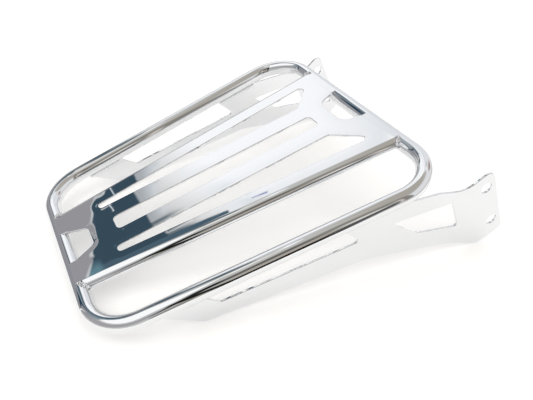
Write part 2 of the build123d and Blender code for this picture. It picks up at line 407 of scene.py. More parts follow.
@dataclass(frozen=True)
class Easing:
    """How polishing has eased an edge: a small round, and a soft fall of the face towards it, in millimetres.

    The wander is how far the polish of the cut wall waves about, in radians, and is smoothed over a few points.
    """

    radius: float = 0.45
    fall: float = 0.05
    reach: float = 6.0
    wander: float = 0.14
    smoothing: int = 4

    def height(self, gap: Array) -> Array:
        """Height of the face at a distance from the round: a cubic that starts at the fall and ends level."""
        return -self.fall * np.clip(1 - gap / self.reach, 0, 1) ** 3

    def slope(self, gap: Array) -> Array:
        """Slope of that height, away from the edge."""
        return 3 * self.fall / self.reach * np.clip(1 - gap / self.reach, 0, 1) ** 2

    def rim(self, outline: Outline, top: float, bottom: float) -> list[Surface]:
        """Wall of a cut edge: a quarter round, a straight wall and a quarter round, carried along the outline.

        Args:
            outline: The cut edge seen from above.
            top: Height of the upper face.
            bottom: Height of the lower face.

        Returns:
            The wall, and its two ends where the outline is open, in plane coordinates and height.
        """
        start = math.atan(3 * self.fall / self.reach)
        turn = np.linspace(start, math.pi / 2, 7)
        inset = self.radius * (1 - np.sin(turn)) / (1 - math.sin(start))
        drop = self.fall + self.radius * (math.cos(start) - np.cos(turn))
        inset = np.r_[inset, inset[::-1]]
        height = np.r_[top - drop, (bottom + drop)[::-1]]
        out = np.r_[np.sin(turn), np.sin(turn)[::-1]]
        up = np.r_[np.cos(turn), -np.cos(turn)[::-1]]
        flat = outline.points[:, None] - inset[None, :, None] * outline.normals[:, None]
        spread = math.sqrt(self.smoothing) * self.wander
        wave = np.random.default_rng(len(flat)).normal(0.0, spread, (2, len(flat)))
        wave = sum(np.roll(wave, shift, axis=1) for shift in range(self.smoothing)) / self.smoothing
        along = np.c_[-outline.normals[:, 1], outline.normals[:, 0]]
        side = out[None, :, None] * (outline.normals + wave[0][:, None] * along)[:, None]
        points = np.dstack([flat, np.broadcast_to(height, flat.shape[:2])])
        normals = unit(np.dstack([side, up + wave[1][:, None] * out**2]))
        wall = grid(points, normals, closed_u=outline.closed)
        if outline.closed:
            return [wall]
        return [wall, cap(points[0], points[0, 0] - points[1, 0]), cap(points[-1], points[-1, 0] - points[-2, 0])]

    def faces(self, loops: list[Array], edges: list[Array], closed: list[bool], top: float, bottom: float,
              spacing: float) -> list[Surface]:
        """The two flat faces of a plate, falling softly towards its cut edges.

        Args:
            loops: Border of the face and its holes, inside the rounds.
            edges: Those of its borders that are cut edges.
            closed: Whether each cut edge is a closed line.
            top: Height of the upper face.
            bottom: Height of the lower face.
            spacing: Distance between the points of the face.

        Returns:
            The upper and the lower face.
        """
        flat, triangles = filled(loops, spacing)
        gap, away = nearest(flat, edges, closed)
        height, tilt = self.height(gap), -self.slope(gap)[:, None] * away
        upper = unit(np.c_[tilt, np.ones(len(flat))])
        lower = upper * [1, 1, -1]
        return [
            Surface(np.c_[flat, top + height], upper, [triangles]).facing_out(),
            Surface(np.c_[flat, bottom - height], lower, [triangles]).facing_out(),
        ]


def srgb(code: str) -> tuple[float, float, float, float]:
    """Linear colour of an sRGB hex code.

    Args:
        code: Six hex digits after a #.

    Returns:
        Red, green, blue and an alpha of 1.
    """
    value = np.array([int(code[i : i + 2], 16) / 255 for i in (1, 3, 5)])
    linear = np.where(value <= 0.04045, value / 12.92, ((value + 0.055) / 1.055) ** 2.4)
    return (*linear.tolist(), 1.0)


def add_node(tree: Tree, kind: str, links: dict | None = None, inputs: dict | None = None,
             **settings: object) -> bpy.types.Node:
    """Add a node with its settings, its constants and its links.

    Args:
        tree: The node tree.
        kind: The node's type, without ShaderNode before it.
        links: Output sockets by the name or number of the input they feed.
        inputs: Constants by the name or number of the input.
        settings: Other properties of the node.

    Returns:
        The node.
    """
    node = tree.nodes.new(f"ShaderNode{kind}")
    for name, value in settings.items():
        setattr(node, name, value)
    for name, value in (inputs or {}).items():
        node.inputs[name].default_value = value
    for name, socket in (links or {}).items():
        tree.links.new(socket, node.inputs[name])
    return node


def emptied(owner: bpy.types.Material | bpy.types.World) -> Tree:
    """Node tree of a material or a world, with no nodes in it."""
    owner.use_nodes = True
    owner.node_tree.nodes.clear()
    return owner.node_tree


def shown(name: str, data: bpy.types.ID) -> bpy.types.Object:
    """New object of the scene, at the origin."""
    made = bpy.data.objects.new(name, data)
    bpy.context.scene.collection.objects.link(made)
    return made


def calc(tree: Tree, operation: str, *values: Socket | float) -> Socket:
    """Result of a Math node.

    Args:
        tree: The node tree.
        operation: The node's operation.
        values: Sockets and constants, in the order of its inputs.

    Returns:
        The result's socket.
    """
    links = {i: v for i, v in enumerate(values) if isinstance(v, Socket)}
    inputs = {i: v for i, v in enumerate(values) if i not in links}
    return add_node(tree, "Math", links, inputs, operation=operation).outputs[0]


@dataclass(frozen=True)
class ChromeFinish:
    """Bright nickel-chrome plate on steel.

    The plate is a clear mirror. Polishing leaves long shallow waves that bend straight reflections, the plate itself a
    fine peel, and handling a faint uneven haze.
    """

    name: str
    colour: str
    clearest: float
    haziest: float
    wave_mm: float
    wave_height_mm: float
    peel_mm: float
    peel_height_mm: float
    haze_mm: float = 18.0
    haze_span: Pair = (0.35, 0.7)

    def material(self) -> bpy.types.Material:
        """Make the finish as a node material.

        Returns:
            The material, one for each finish.
        """
        made = bpy.data.materials.get(self.name)
        if made:
            return made
        made = bpy.data.materials.new(self.name)
        tree = emptied(made)
        place = add_node(tree, "TexCoord").outputs["Object"]
        haze, wave, peel = (
            add_node(tree, "TexNoise", {"Vector": place}, {"Scale": 1 / (size * MM), "Detail": detail}).outputs[0]
            for size, detail in ((self.haze_mm, 4.0), (self.wave_mm, 1.0), (self.peel_mm, 2.0)))
        low, high = self.haze_span
        rough = add_node(tree, "MapRange", {"Value": haze},
                         {"From Min": low, "From Max": high, "To Min": self.clearest, "To Max": self.haziest})
        waved = add_node(tree, "Bump", {"Height": wave},
                         {"Strength": 1.0, "Distance": self.wave_height_mm * MM})
        peeled = add_node(tree, "Bump", {"Height": peel, "Normal": waved.outputs[0]},
                          {"Strength": 1.0, "Distance": self.peel_height_mm * MM})
        plate = add_node(tree, "BsdfPrincipled",
                         {"Roughness": rough.outputs[0], "Normal": peeled.outputs[0]},
                         {"Base Color": srgb(self.colour), "Metallic": 1.0})
        add_node(tree, "OutputMaterial", {"Surface": plate.outputs[0]})
        return made


POLISHED = ChromeFinish("bright_chrome_on_polished_steel", "#E8E9EB", 0.012, 0.035, 45.0, 0.012, 2.2, 0.0004)
BEADED = ChromeFinish("bright_chrome_on_weld_bead", "#E6E7E9", 0.05, 0.12, 6.0, 0.02, 1.2, 0.008)


def make_piece(name: str, surface: Surface, finish: ChromeFinish, nodes: list[str]) -> None:
    """Make a piece's mesh, dress it, and set it in place of its solids.

    Points that coincide are made one, and each face corner keeps the normal that its surface gives it.

    Args:
        name: The piece's name.
        surface: Its surface, in millimetres in the row frame.
        finish: Its finish.
        nodes: The solids that it stands for.
    """
    key = np.round(surface.points, 3)
    _, first, number = np.unique(key, axis=0, return_index=True, return_inverse=True)
    number = number.reshape(-1)
    whole = [f[(np.diff(np.sort(number[f], 1), axis=1) > 0).all(1)] for f in surface.faces]
    mesh = bpy.data.meshes.new(name)
    mesh.from_pydata((surface.points[first] * MM).tolist(), [], [row for f in whole for row in number[f].tolist()])
    mesh.shade_smooth()
    mesh.normals_split_custom_set(np.vstack([surface.normals[f].reshape(-1, 3) for f in whole]).tolist())
    mesh.update()
    mesh.materials.append(finish.material())
    piece = shown(name, mesh)
    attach(piece, "root")
    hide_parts(*nodes)
    LOG.info("%s: %d faces, stands for %s", name, len(mesh.polygons), ", ".join(nodes))


@dataclass
class Hoop:
    """The round tube, bent on four corners and closed."""

    layout: Layout = LAYOUT
    around: int = 64

    def surface(self) -> Surface:
        """A circle carried along the hoop's centre line.

        Returns:
            The tube's skin.
        """
        lay = self.layout
        corners = [(lay.half_length, -lay.front_half_width), (lay.half_length, lay.front_half_width),
                   (-lay.half_length, lay.rear_half_width), (-lay.half_length, -lay.rear_half_width)]
        line = rounded_outline(corners, [lay.hoop_bend] * 4, step=6.0)
        out = np.c_[line.normals, np.zeros(len(line.points))]
        ring = circles(self.around, out, np.broadcast_to([0.0, 0.0, 1.0], out.shape))
        middle = np.c_[line.points, np.full(len(line.points), -lay.tube_radius)][:, None]
        return grid(middle + lay.tube_radius * ring, ring, closed_u=True, closed_v=True)

    def build(self) -> None:
        """Make the hoop's piece."""
        make_piece("hoop", self.surface(), POLISHED, ["hoop_tube"])


@dataclass
class Deck:
    """The slotted sheet deck with its rolled long edges."""

    layout: Layout = LAYOUT
    easing: Easing = Easing(0.5, 0.09, 8.0)
    centre_half: float = 7.5
    bar: float = 17.0
    strip: float = 17.0
    slot_corner: float = 3.6
    centre_rear: float = 41.3
    centre_front: float = 38.9
    wedge_rear: float = 35.3
    wedge_front: float = 40.4
    wedge_angle: float = 46.0
    tip_rounding: float = 0.92
    rear_notch: tuple[float, float, float, float] = (21.1, 19.0, 9.5, 3.5)
    front_notch: tuple[float, float, float, float] = (22.0, 24.0, 16.7, 10.0)
    lip_round: float = 0.6
    twist: float = 0.013
    fade: float = 6.0
    spacing: float = 2.4

    def slots(self) -> list[Outline]:
        """Outlines of the centre slot and the two wedge slots, with the sheet on their left.

        Returns:
            The three outlines.
        """
        lay = self.layout
        x0, x1 = self.centre_rear - lay.half_length, lay.half_length - self.centre_front
        h = self.centre_half
        centre = rounded_outline([(x0, h), (x1, h), (x1, -h), (x0, -h)], [self.slot_corner] * 4)
        inner = self.centre_half + self.bar
        rear, front = self.wedge_rear - lay.half_length, lay.half_length - self.wedge_front
        slant = math.tan(math.radians(self.wedge_angle))
        tip = lay.deck_edge(rear) - self.strip - inner
        reach = (lay.deck_edge(front) - self.strip - inner) / (slant - lay.deck_slope)
        tip_radius = self.tip_rounding * tip / 2
        corners = np.array([(rear, inner + tip), (front + reach, inner + reach * slant), (front, inner), (rear, inner)])
        radii = np.array([tip_radius, self.slot_corner, self.slot_corner, tip_radius])
        left = rounded_outline(corners, radii)
        right = rounded_outline((corners * [1, -1])[::-1], radii[::-1])
        return [centre, left, right]

    def notch(self, end: End) -> Outline:
        """Outline of the notch at one end of the deck, open to the tube, with the sheet on its left."""
        lay = self.layout
        depth, base, inner, radius = self.rear_notch if end is End.REAR else self.front_notch
        mouth = base + (inner - base) * (lay.half_length - lay.deck_end) / depth
        corners = np.array([(lay.deck_end, -mouth), (lay.half_length - depth, -inner), (lay.half_length - depth, inner),
                            (lay.deck_end, mouth)]) * end.value
        return rounded_outline(corners, [0, radius, radius, 0], closed=False)

    def bend_line(self, side: Side) -> tuple[Array, Array]:
        """Line where a rolled edge leaves the flat, from the rear to the front, and its outward direction.

        Args:
            side: The side of the deck.

        Returns:
            The line's points and the direction.
        """
        lay = self.layout
        x = np.linspace(-lay.deck_end, lay.deck_end, 105)
        out = np.array([-lay.deck_slope, float(side.value)])
        out /= np.linalg.norm(out)
        edge = np.c_[x, side.value * (lay.deck_edge(x) - lay.edge_bend)]
        return edge, out

    def rolled_edge(self, side: Side) -> list[Surface]:
        """The sheet turned down along a bend line: a quarter round, a short lip, its cut edge and back inside.

        Args:
            side: The side of the deck.

        Returns:
            The skin, and the two ends.
        """
        lay = self.layout
        line, out = self.bend_line(side)
        outer, inner, soft = lay.edge_bend, lay.edge_bend - lay.sheet, self.lip_round
        foot = lay.edge_bend + lay.edge_lip
        bend = np.linspace(0, math.pi / 2, 19)[:-1]
        corner = np.linspace(0, math.pi / 2, 6)
        offset = np.r_[outer * np.sin(bend), outer - soft + soft * np.cos(corner),
                       inner + soft - soft * np.sin(corner), inner * np.sin(bend[::-1])]
        height = np.r_[-outer * (1 - np.cos(bend)), -foot + soft - soft * np.sin(corner),
                       -foot + soft - soft * np.cos(corner), -outer + inner * np.cos(bend[::-1])]
        side_way = np.r_[np.sin(bend), np.cos(corner), -np.sin(corner), -np.sin(bend[::-1])]
        up_way = np.r_[np.cos(bend), -np.sin(corner), -np.cos(corner), -np.cos(bend[::-1])]
        shape = (len(line), len(offset))
        flat = line[:, None] + offset[None, :, None] * out
        points = np.dstack([flat, np.broadcast_to(height, shape)])
        normals = np.dstack([side_way[None, :, None] * np.broadcast_to(out, (*shape, 2)),
                             np.broadcast_to(up_way, shape)])
        turned = grid(points, normals)
        half = shape[1] // 2
        ends = []
        for row, way in ((0, -1.0), (-1, 1.0)):
            section = np.stack([points[row, :half], points[row, ::-1][:half]])
            ends.append(grid(section, np.broadcast_to(np.array([way, 0, 0]), section.shape)))
        return [turned, *ends]

    def surface(self) -> Surface:
        """Flat faces, cut edges and rolled edges of the sheet.

        Returns:
            The deck's whole skin.
        """
        lay, ease = self.layout, self.easing
        slots = self.slots()
        rear, front = self.notch(End.REAR), self.notch(End.FRONT)
        left, _ = self.bend_line(Side.LEFT)
        right, _ = self.bend_line(Side.RIGHT)
        cuts = [*slots, rear, front]
        edges = [cut.inset(ease.radius) for cut in cuts]
        closed = [cut.closed for cut in cuts]
        rear_line, front_line = edges[-2:]
        loops = [np.vstack([right, front_line, left[::-1], rear_line]), *edges[:-2]]
        patches = ease.faces(loops, edges, closed, 0.0, -lay.sheet, self.spacing)
        for cut in cuts:
            patches += ease.rim(cut, 0.0, -lay.sheet)
        for side in Side:
            patches += self.rolled_edge(side)
        for corner in ((right[-1], front_line[0]), (left[-1], front_line[-1]),
                       (left[0], rear_line[0]), (right[0], rear_line[-1])):
            flat = np.array(corner)
            drop = ease.height(nearest(flat, edges, closed)[0])
            wall = np.stack([np.c_[flat, drop], np.c_[flat, -lay.sheet - drop]])
            patches.append(grid(wall, np.broadcast_to(np.array([np.sign(flat[0, 0]), 0, 0]), wall.shape)))
        return self.twisted(joined(patches))

    def twisted(self, sheet: Surface) -> Surface:
        """The sheet with its side strips turned a little about Y, as the rolling of their edges leaves them.

        Args:
            sheet: The deck with flat strips.

        Returns:
            The deck with its normals turned.
        """
        outward = np.abs(sheet.points[:, 1]) - (self.centre_half + self.bar)
        forward = sheet.points[:, 0] + self.layout.half_length - self.wedge_rear
        share = np.clip(outward / self.fade, 0, 1) * np.clip(forward / self.fade, 0, 1)
        normals = unit(sheet.normals - np.outer(self.twist * share * sheet.normals[:, 2], [1.0, 0, 0]))
        return Surface(sheet.points, normals, sheet.faces)

    def build(self) -> None:
        """Make the deck's piece."""
        make_piece("deck", self.surface(), POLISHED, ["deck_plate"])


@dataclass
class Arm:
    """A flat arm under a side run, with its notch, its window and its mounting tab.

    Corners are given along the run from the nearer bend, and up from the underside of the tube. Those of the tab are
    given from its bolt holes, down the line of the holes and then square to it.
    """

    side: Side
    layout: Layout = LAYOUT
    easing: Easing = Easing(0.45, 0.04, 4.0)
    thickness: float = 2.0
    inboard: float = 0.8
    soft: float = 22.0
    corner: float = 4.5
    tab_apex: float = 7.0
    cutout: float = 2.2
    window_tip: float = 0.8
    sharp: float = 0.5
    hole_radius: float = 4.5
    hole_spacing: float = 41.5
    tab_tilt: float = 12.0
    bolt: Pair = (73.4, -26.2)
    toe: Pair = (20.0, -15.9)
    tab_low: Pair = (17.3, 8.7)
    tab_top: Pair = (-15.5, 8.7)
    rear_land: Pair = (6.7, 39.4)
    front_land: Pair = (-48.4, -5.4)
    land_rise: float = 0.3
    heel: Pair = (35.0, -26.2)
    notch_rear: Pair = (51.0, -13.4)
    notch_front: Pair = (-35.6, -18.7)
    knee: Pair = (-31.6, -42.4)
    shin: Pair = (40.3, -71.0)
    dip: Pair = (54.3, -18.7)
    brow: Pair = (31.4, -8.2)
    window: tuple[Pair, ...] = ((-8.1, -17.1), (42.6, -25.1), (49.1, -54.0), (12.7, -40.1))
    spacing: float = 4.0

    def axes(self) -> tuple[Array, Array, Array, Array]:
        """Origin, run, up and normal of the arm's plane in the row frame."""
        lay, way = self.layout, self.side.value
        cosine, sine = math.cos(lay.side_angle), math.sin(lay.side_angle)
        normal = np.array([-sine * way, cosine, 0])
        origin = np.array([0, way * lay.mid_half_width, -2 * lay.tube_radius]) - way * self.inboard * normal
        return origin, np.array([cosine, way * sine, 0]), np.array([0, 0, 1.0]), normal

    def from_rear(self, corner: Pair) -> Pair:
        """A corner given from the rear bend, along the run from mid-length."""
        return self.layout.rear_bend + corner[0], corner[1]

    def from_front(self, corner: Pair) -> Pair:
        """A corner given from the front bend, along the run from mid-length."""
        return self.layout.front_bend + corner[0], corner[1]

    def lands(self) -> tuple[Pair, Pair]:
        """Start and end of the rear and the front land under the tube, along the run from mid-length."""
        rear, front = self.layout.rear_bend, self.layout.front_bend
        return ((rear + self.rear_land[0], rear + self.rear_land[1]),
                (front + self.front_land[0], front + self.front_land[1]))

    def tab_point(self, down: float, forward: float) -> Pair:
        """Point of the tab from its upper hole: down the line of the holes, then square to it."""
        lean = math.radians(self.tab_tilt)
        return (self.layout.front_bend + self.bolt[0] + down * math.sin(lean) + forward * math.cos(lean),
                self.bolt[1] - down * math.cos(lean) + forward * math.sin(lean))

    def outlines(self) -> list[Outline]:
        """The arm's outer outline, its window and its bolt holes, with the plate on their left.

        Returns:
            The outlines, the outer one first.
        """
        (rear_start, rear_stop), (front_start, front_stop) = self.lands()
        rise, last = self.land_rise, self.hole_spacing
        turns = [((rear_start, rise), self.sharp), (self.from_rear(self.heel), self.corner),
                 (self.from_front(self.knee), self.soft), (self.from_front(self.shin), self.soft),
                 (self.tab_point(last + self.toe[0], self.toe[1]), self.corner),
                 (self.tab_point(last + self.tab_low[0], self.tab_low[1]), self.corner),
                 (self.tab_point(*self.tab_top), self.tab_apex), (self.from_front(self.dip), self.soft),
                 (self.from_front(self.brow), self.soft), ((front_stop, rise), self.sharp),
                 ((front_start, rise), self.sharp), (self.from_front(self.notch_front), self.cutout),
                 (self.from_rear(self.notch_rear), self.cutout), ((rear_stop, rise), self.sharp)]
        outer = rounded_outline([corner for corner, _ in turns], [radius for _, radius in turns])
        window = rounded_outline([self.from_front(corner) for corner in self.window],
                                 [self.window_tip] + [self.cutout] * 3)
        turn = np.linspace(0, -2 * math.pi, 48, endpoint=False)
        ring = np.c_[np.cos(turn), np.sin(turn)]
        holes = [Outline(np.array(self.tab_point(down, 0)) + self.hole_radius * ring, -ring)
                 for down in (0.0, self.hole_spacing)]
        return [outer, window, *holes]

    def surface(self) -> Surface:
        """Two flat faces and the eased cut edges between them.

        Returns:
            The arm's whole skin in the row frame.
        """
        cuts = self.outlines()
        half = self.thickness / 2
        loops = [c.inset(self.easing.radius) for c in cuts]
        patches = self.easing.faces(loops, loops, [True] * len(loops), half, -half, self.spacing)
        for cut in cuts:
            patches += self.easing.rim(cut, half, -half)
        return placed(joined(patches), *self.axes())

    def build(self) -> None:
        """Make the arm's piece."""
        name = f"{self.side.name.lower()}_arm"
        make_piece(f"{name}_plate", self.surface(), POLISHED, [name])


@dataclass(frozen=True)
class Bead:
    """A weld bead: a round laid along a path in overlapping ripples, drawn in at both ends, in millimetres.

    Its unevenness is a share of the radius, a length and a phase for each of two waves.
    """

    radius: float
    pitch: float
    ripple: float = 0.09
    around: int = 28
    taper: float = 1.6
    lag: float = 1.1
    uneven: tuple[tuple[float, float, float], ...] = ((0.05, 2.3, 0.7), (0.04, 0.9, 2.1))

    def surface(self, path: Array, first: Array, second: Array, radius: Array | float = 1.0) -> Surface:
        """Carry the round along the path.

        The radius swells once every pitch. The swelling lags behind at the flanks, so that each ripple is a crescent.

        Args:
            path: Points of the bead's centre.
            first: Directions square to the path, one or one for each point.
            second: Directions square to the path and to those.
            radius: Share of the full radius, one or one for each point.

        Returns:
            The bead's closed skin.
        """
        length = np.r_[0, np.cumsum(np.linalg.norm(np.diff(path, axis=0), axis=1))]
        ends = np.minimum(length, length[-1] - length) / self.taper
        draw = np.sqrt(np.clip(1 - (1 - np.clip(ends, 0.02, 1)) ** 2, 0, 1))
        turn = np.linspace(0, 2 * math.pi, self.around, endpoint=False)
        phase = 2 * math.pi * length[:, None] / self.pitch + self.lag * np.sin(turn - 0.6) ** 2
        uneven = sum(share * np.sin(length / wave + start) for share, wave, start in self.uneven)
        swell = 1 + self.ripple * (1 - np.abs(np.sin(phase / 2))) * 2 - self.ripple + uneven[:, None]
        ring = circles(self.around, *(np.broadcast_to(way, path.shape) for way in (first, second)))
        reach = self.radius * (draw * radius)[:, None] * swell
        points = path[:, None] + reach[..., None] * ring
        return joined([skin(points, ring), cap(points[0], path[0] - path[1]), cap(points[-1], path[-1] - path[-2])])


@dataclass
class Welds:
    """The beads that hold the arms and the deck's corners, and the dressed seams of the deck's ends.

    An edge bead starts slim, at an angle on the tube, and is full after so many points of its path. A seam runs over
    the crown by an angle, and past the start of the rolled edge. Angles are in degrees.
    """

    layout: Layout = LAYOUT
    deck: Deck = field(default_factory=Deck)
    arm_bead: Bead = Bead(2.35, 1.9)
    edge_bead: Bead = Bead(1.95, 2.0, ripple=0.14)
    land_inset: float = 1.0
    arm_bead_in: float = 1.6
    arm_bead_up: float = 0.15
    edge_bead_start: float = 6.0
    edge_bead_tail: float = 1.2
    edge_bead_slim: float = 0.7
    edge_bead_full: int = 35
    seam_overlap: float = 1.4
    seam_wave: float = 0.008
    seam_dip: float = 0.004
    seam_over: float = 18.0
    seam_past: float = 0.6
    seam_end_round: float = 0.6
    seam_end_drop: float = 0.35
    seam_depths: Pair = (1.6, 1.0)

    def arm_weld(self, side: Side, name: str, start: float, stop: float) -> None:
        """Bead between the tube and the inner face of an arm, along one of its lands.

        Args:
            side: The arm's side.
            name: Which land.
            start: Start of the land along the run.
            stop: End of the land.
        """
        origin, run, up, normal = Arm(side).axes()
        inner = -side.value * normal
        s = np.linspace(start + self.land_inset, stop - self.land_inset, int((stop - start) / 0.12))
        path = origin + s[:, None] * run + self.arm_bead_in * inner + self.arm_bead_up * up
        piece = f"{side.name.lower()}_arm_{name}"
        make_piece(f"{piece}_bead", self.arm_bead.surface(path, inner, up), BEADED, [f"{piece}_weld"])

    def edge_weld(self, end: End, side: Side) -> None:
        """Bead down the corner between a rolled edge and the end tube.

        The path is where the two rounds cross: a quarter of an ellipse in the plane between them.

        Args:
            end: The end of the deck.
            side: The side of the deck.
        """
        lay = self.layout
        bend = lay.deck_edge(end.value * lay.deck_end) - lay.edge_bend
        turn = np.linspace(math.radians(self.edge_bead_start), math.pi / 2, 90)
        x = end.value * (lay.half_length - lay.tube_radius * np.sin(turn))
        y = side.value * (bend + lay.edge_bend * np.sin(turn))
        path = np.c_[x, y, -lay.edge_bend * (1 - np.cos(turn))]
        tail = np.linspace(0.1, self.edge_bead_tail, 8)[:, None]
        path = np.vstack([path, path[-1] + np.array([0, 0, -1.0]) * tail])
        across = np.array([side.value * lay.edge_bend, end.value * lay.tube_radius, 0.0])
        across /= np.linalg.norm(across)
        run = unit(np.gradient(path, axis=0))
        share = np.interp(np.arange(len(path)), [0, self.edge_bead_full], [self.edge_bead_slim, 1.0])
        bead = self.edge_bead.surface(path, across, np.cross(run, across), share)
        name = f"{end.name.lower()}_{side.name.lower()}_edge"
        make_piece(f"{name}_bead", bead, BEADED, [f"{name}_weld"])

    def seam(self, end: End, side: Side) -> None:
        """Filled groove between the deck's end and the tube's crown, dressed level and a little wavy.

        Its section runs level from the sheet to the crown, follows the tube a little way over it, and closes inside.

        Args:
            end: The end of the deck.
            side: The side of the deck.
        """
        lay, r = self.layout, self.layout.tube_radius
        start = abs(self.deck.notch(end).points[0, 1])
        stop = lay.deck_edge(end.value * lay.deck_end) - lay.edge_bend + self.seam_past
        over = np.radians(np.linspace(0, self.seam_over, 9))
        level = np.linspace(lay.deck_end - self.seam_overlap, lay.half_length, 12)[:-1]
        x = np.r_[level, lay.half_length + r * np.sin(over)]
        z = np.r_[np.zeros(len(level)), -r * (1 - np.cos(over))]
        y = np.r_[start, start + np.geomspace(0.03, self.seam_end_round, 7), np.arange(start + 1.4, stop, 0.8), stop]
        inside = np.clip((y - start) / self.seam_end_round, 0, 1)
        ease = self.seam_end_drop * (1 - np.sqrt(np.clip(1 - (1 - inside) ** 2, 0, 1)))
        wave = 1 + np.sin(y / 2.6 + end.value) * np.sin(y / 5.7 + 1.3 * side.value)
        middle = np.sin(np.linspace(0, math.pi, len(x)))
        height = z - self.seam_dip + self.seam_wave * middle * wave[:, None] - ease[:, None]
        across = np.broadcast_to(end.value * x, height.shape)
        top = np.dstack([across, np.broadcast_to(side.value * y[:, None], height.shape), height])
        low = zip((lay.half_length, lay.deck_end - self.seam_overlap), self.seam_depths)
        even = np.ones(len(y))
        floor = np.stack([np.c_[end.value * u * even, side.value * y, -v * even] for u, v in low], 1)
        under = np.concatenate([top[:, -1:], floor, top[:, :1]], 1)
        rings = np.concatenate([top, floor], 1)
        middle = rings.mean(1, keepdims=True)
        body = [skin(top, top - middle, False), skin(under, under - middle, False),
                cap(rings[0], (0, -side.value, 0)), cap(rings[-1], (0, side.value, 0))]
        name = f"{end.name.lower()}_{side.name.lower()}_seam"
        make_piece(f"{name}_dressed", joined(body), POLISHED, [name])

    def build(self) -> None:
        """Make every bead and seam."""
        for side in Side:
            for name, land in zip(("rear", "front"), Arm(side).lands()):
                self.arm_weld(side, name, *land)
            for end in End:
                self.seam(end, side)
                self.edge_weld(end, side)


@dataclass(frozen=True)
class Panel:
    """A patch of light or dark round the rack that the chrome shows, by its directions in degrees.

    Azimuth turns from +Y towards +X. The lean moves the panel sideways for each degree of elevation, and the tilt moves
    it up for each degree of azimuth.
    """

    name: str
    azimuth: Pair
    elevation: Pair
    colour: str
    edge: float = 3.0
    lean: float = 0.0
    tilt: float = 0.0
    level: float = 1.0

    @property
    def light(self) -> tuple[float, ...]:
        """Linear colour of the panel at its level."""
        return (*(self.level * c for c in srgb(self.colour)[:3]), 1.0)

    def mask(self, tree: Tree, azimuth: Socket, elevation: Socket) -> Socket:
        """Share of the panel in a direction: 1 within both of its spans, and falling to 0 over its soft edge.

        Args:
            tree: The world's node tree.
            azimuth: The direction's azimuth, in degrees.
            elevation: Its elevation, in degrees.

        Returns:
            The share's socket.
        """
        level, aside = sum(self.elevation) / 2, sum(self.azimuth) / 2
        shares = []
        for angle, span, middle, other, about, turn in (
            (azimuth, self.azimuth, aside, elevation, level, self.lean),
            (elevation, self.elevation, level, azimuth, aside, self.tilt),
        ):
            half, soft = (span[1] - span[0]) / 2, self.edge / 2
            away = calc(tree, "SUBTRACT", angle, middle - turn * about)
            if turn:
                away = calc(tree, "MULTIPLY_ADD", other, -turn, away)
            away = calc(tree, "ABSOLUTE", calc(tree, "WRAP", away, 180.0, -180.0))
            fall = {"From Min": half - soft, "From Max": half + soft, "To Min": 1.0, "To Max": 0.0}
            shares.append(add_node(tree, "MapRange", {"Value": away}, fall, interpolation_type="SMOOTHSTEP").outputs[0])
        return calc(tree, "MULTIPLY", *shares)


